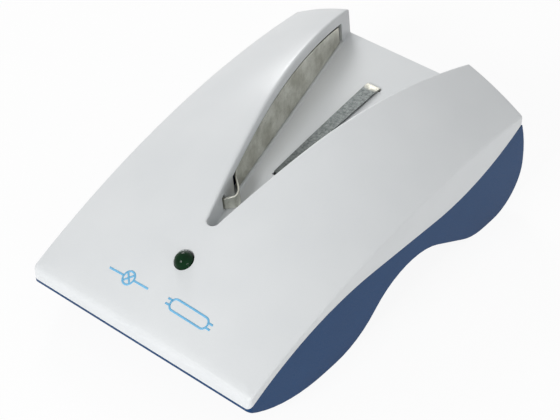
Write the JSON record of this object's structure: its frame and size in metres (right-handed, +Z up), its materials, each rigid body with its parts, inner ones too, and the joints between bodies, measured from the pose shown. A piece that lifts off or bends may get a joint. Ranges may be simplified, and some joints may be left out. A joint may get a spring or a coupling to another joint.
{
  "type": "battery lamp and tube tester",
  "caption": "Wedge-shaped desk tester for lamps and tubes: pearl white top with a V channel holding a side contact and a floor strip, green indicator, blue base with a battery bay.",
  "frame": {"origin": "on the resting plane, under the middle of the body", "axes": "+X to the right, +Y towards the tall back end, +Z up"},
  "size_m": [0.0762, 0.1134, 0.0432],
  "materials": {
    "shell_white": "pearl white, satin",
    "shell_blue": "dark blue, satin",
    "foam": "soft foam",
    "battery_jacket": "satin",
    "battery_cap": "matte",
    "nickel": "nickel plated",
    "black_board": "matte fibre board",
    "board": "phenolic paper board",
    "zinc": "zinc plated",
    "solder": "tinned",
    "lens": "clear green resin",
    "resistor": "lacquered",
    "black_plastic": "matte",
    "capacitor": "glazed disc",
    "contact_steel": "rolled, with handling marks",
    "contact_strip": "tinned, with handling marks",
    "wire_red": "insulated wire",
    "wire_black": "insulated wire",
    "wire_yellow": "insulated wire",
    "wire_blue": "insulated wire"
  },
  "bodies": {
    "housing": {"upper_shell": "shell_white", "lower_shell": "shell_blue", "battery_case": "battery_jacket", "battery_end_cap": "battery_cap", "battery_terminals": "nickel", "contact_carrier": "black_board", "positive_leaf": "nickel", "negative_leaf": "nickel", "circuit_board": "board", "board_screws": "zinc", "solder_joints": "solder", "led_lens": "lens", "led_leads": "solder", "resistors": "resistor", "resistor_leads": "solder", "transistors": "black_plastic", "transistor_legs": "solder", "capacitor": "capacitor", "housing_screws": "zinc", "positive_lead": "wire_red", "negative_lead": "wire_black", "side_contact_wire": "wire_yellow", "centre_contact_wire": "wire_blue"},
    "door": {"battery_door": "shell_blue", "door_pad": "foam"},
    "side_spring": {"side_contact": "contact_steel"},
    "centre_spring": {"centre_contact": "contact_strip"}
  },
  "joints": [
    {"name": "door_slide", "type": "slide", "parent": "housing", "child": "door", "axis": [0, 0.8657, -0.5005], "range_m": [0, 0.03]},
    {"name": "side_contact_press", "type": "slide", "parent": "housing", "child": "side_spring", "axis": [-0.9733, -0.2069, -0.0995], "range_m": [0, 0.0006], "stiffness_N_per_m": 800},
    {"name": "centre_contact_press", "type": "slide", "parent": "housing", "child": "centre_spring", "axis": [0, 0, -1], "range_m": [0, 0.0003], "stiffness_N_per_m": 800}
  ]
}
